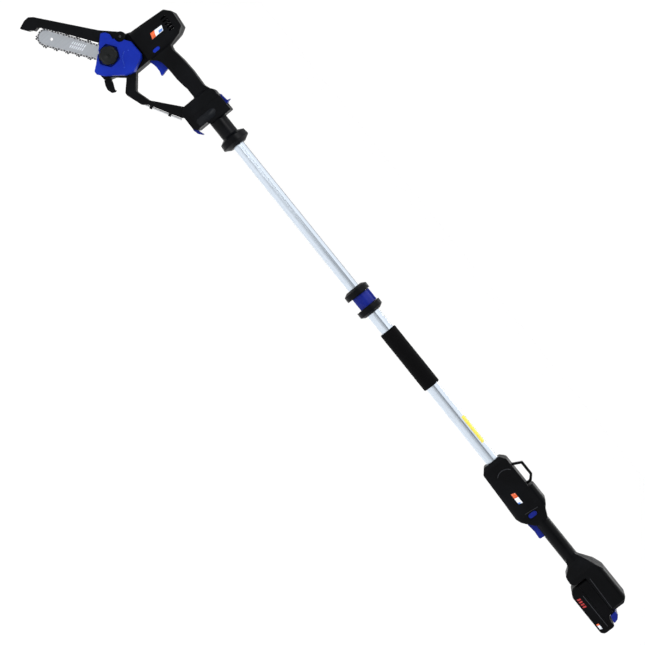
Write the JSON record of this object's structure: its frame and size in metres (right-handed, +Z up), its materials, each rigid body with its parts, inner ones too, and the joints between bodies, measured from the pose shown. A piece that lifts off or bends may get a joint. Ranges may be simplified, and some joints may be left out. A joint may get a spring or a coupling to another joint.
{
  "type": "telescoping pole saw",
  "caption": "Battery pole saw: a short chain bar on a detachable hand saw, joined by an adapter to a two-piece telescoping pole with a flip lock, foam grip and rear trigger handle.",
  "frame": {"origin": "middle of the foam grip, on the pole's axis", "axes": "+X along the pole towards the battery, so the saw is towards -X; +Z up, away from the triggers; -Y towards the side with the chain's cover and the clamp knob"},
  "size_m": [1.9658, 0.086, 0.3033],
  "materials": {
    "moulded_black": "fine moulded grain, satin",
    "pack_black": "moulded, matte",
    "hidden_black": "plain moulded",
    "cable_black": "matte rubber",
    "tool_blue": "moulded blue, semi-gloss",
    "knob_grey": "dark grey grained plastic",
    "anodised_tube": "satin anodised, drawn along its length",
    "foam": "closed-cell foam, soft matte",
    "sticker": "blank coated paper",
    "badge": "blank printed badge",
    "bright_steel": "zinc-plated steel",
    "bar_steel": "satin ground steel",
    "chain_steel": "oiled dark steel",
    "gear_steel": "sintered steel",
    "copper": "enamelled copper wire",
    "key_black": "black oxide steel",
    "contact_brass": "plated contact",
    "board_green": "circuit board",
    "cell_wrap": "shrink wrap"
  },
  "bodies": {
    "outer_pole": {"outer_tube": "anodised_tube", "foam_grip": "foam", "tube_label": "sticker", "lock_collar": "moulded_black", "clamp_ring": "hidden_black", "lever_pin": "bright_steel", "coiled_cable": "cable_black", "rear_housing_left": "moulded_black", "rear_housing_right": "moulded_black", "rear_screws": "bright_steel", "rear_badge": "badge", "strap_loop": "moulded_black", "rear_trigger_spring": "bright_steel", "rear_switch": "hidden_black", "control_board": "board_green", "dock_terminals": "contact_brass"},
    "lock_lever": {"lock_lever": "tool_blue"},
    "inner_pole": {"inner_tube": "anodised_tube", "tube_bush": "hidden_black", "cable_lead": "cable_black", "adapter_left": "moulded_black", "adapter_right": "moulded_black", "adapter_plug": "hidden_black", "adapter_screws": "bright_steel"},
    "upper_latch": {"upper_latch": "tool_blue"},
    "lower_latch": {"lower_latch": "tool_blue"},
    "saw": {"saw_housing_left": "moulded_black", "saw_housing_right": "moulded_black", "saw_screws": "bright_steel", "saw_badge": "badge", "saw_terminals": "contact_brass", "motor_can": "bright_steel", "motor_bearings": "bright_steel", "spindle_bearings": "bright_steel", "guide_bar": "bar_steel", "saw_chain": "chain_steel", "bar_stud": "bright_steel", "tension_pin": "bright_steel", "sprocket_cover": "tool_blue", "guard_pin": "bright_steel", "branch_hook": "moulded_black", "hex_key": "key_black", "saw_trigger_spring": "bright_steel", "saw_switch": "hidden_black"},
    "spindle": {"spindle": "bright_steel", "face_gear": "gear_steel", "drive_sprocket": "bright_steel"},
    "rotor": {"rotor": "copper", "rotor_pinion": "gear_steel"},
    "clamp_knob": {"clamp_knob": "knob_grey"},
    "bar_guard": {"bar_guard": "moulded_black"},
    "saw_trigger": {"saw_trigger": "tool_blue"},
    "saw_lock_off": {"saw_lock_off": "tool_blue"},
    "rear_trigger": {"rear_trigger": "tool_blue"},
    "rear_lock_off": {"rear_lock_off": "tool_blue"},
    "battery": {"battery_case": "pack_black", "battery_base": "pack_black", "battery_cells": "cell_wrap"},
    "battery_button": {"battery_button": "tool_blue"}
  },
  "joints": [
    {"name": "pole_telescope", "type": "slide", "parent": "outer_pole", "child": "inner_pole", "axis": [1, 0, 0], "range_m": [0, 0.38]},
    {"name": "lock_lever_swing", "type": "hinge", "parent": "outer_pole", "child": "lock_lever", "pos_m": [-0.1735, 0, 0.023], "axis": [-1, 0, 0], "range_deg": [0, 110]},
    {"name": "saw_release", "type": "slide", "parent": "inner_pole", "child": "saw", "axis": [-1, 0, 0], "range_m": [0, 0.06]},
    {"name": "upper_latch_press", "type": "slide", "parent": "inner_pole", "child": "upper_latch", "axis": [1, 0, 0], "range_m": [0, 0.004], "stiffness_N_per_m": 900},
    {"name": "lower_latch_press", "type": "slide", "parent": "inner_pole", "child": "lower_latch", "axis": [-1, 0, 0], "range_m": [0, 0.004], "stiffness_N_per_m": 900},
    {"name": "spindle_spin", "type": "hinge", "parent": "saw", "child": "spindle", "pos_m": [-0.961, 0, -0.0815], "axis": [0, 1, 0], "continuous": true},
    {"name": "rotor_spin", "type": "hinge", "parent": "saw", "child": "rotor", "pos_m": [-0.961, 0, 0], "axis": [0, 0, 1], "continuous": true},
    {"name": "clamp_knob_turn", "type": "hinge", "parent": "saw", "child": "clamp_knob", "pos_m": [-0.98885, 0, -0.101], "axis": [0, 1, 0], "continuous": true},
    {"name": "bar_guard_lift", "type": "hinge", "parent": "saw", "child": "bar_guard", "pos_m": [-1.007, 0, -0.053], "axis": [0, 1, 0], "range_deg": [0, 45], "stiffness_Nm_per_rad": 0.35, "springref_deg": -28.65},
    {"name": "saw_trigger_press", "type": "hinge", "parent": "saw", "child": "saw_trigger", "pos_m": [-0.917, 0, -0.009], "axis": [0, -1, 0], "range_deg": [0, 8], "stiffness_Nm_per_rad": 1.2, "springref_deg": -2.86, "deforming": ["saw_trigger_spring"]},
    {"name": "saw_lock_off_press", "type": "slide", "parent": "saw", "child": "saw_lock_off", "axis": [0, 1, 0], "range_m": [-0.0025, 0.0025], "stiffness_N_per_m": 800},
    {"name": "rear_trigger_press", "type": "hinge", "parent": "outer_pole", "child": "rear_trigger", "pos_m": [0.518, 0, -0.008], "axis": [0, 1, 0], "range_deg": [0, 8], "stiffness_Nm_per_rad": 1.2, "springref_deg": -2.86, "deforming": ["rear_trigger_spring"]},
    {"name": "rear_lock_off_press", "type": "slide", "parent": "outer_pole", "child": "rear_lock_off", "axis": [0, 1, 0], "range_m": [-0.0025, 0.0025], "stiffness_N_per_m": 800},
    {"name": "battery_slide", "type": "slide", "parent": "outer_pole", "child": "battery", "axis": [1, 0, 0], "range_m": [0, 0.14]},
    {"name": "battery_button_press", "type": "slide", "parent": "battery", "child": "battery_button", "axis": [0, 0, -1], "range_m": [0, 0.003], "stiffness_N_per_m": 900}
  ],
  "couplings": [
    {"joint": "rotor_spin", "follows": "spindle_spin", "ratio": -3}
  ]
}
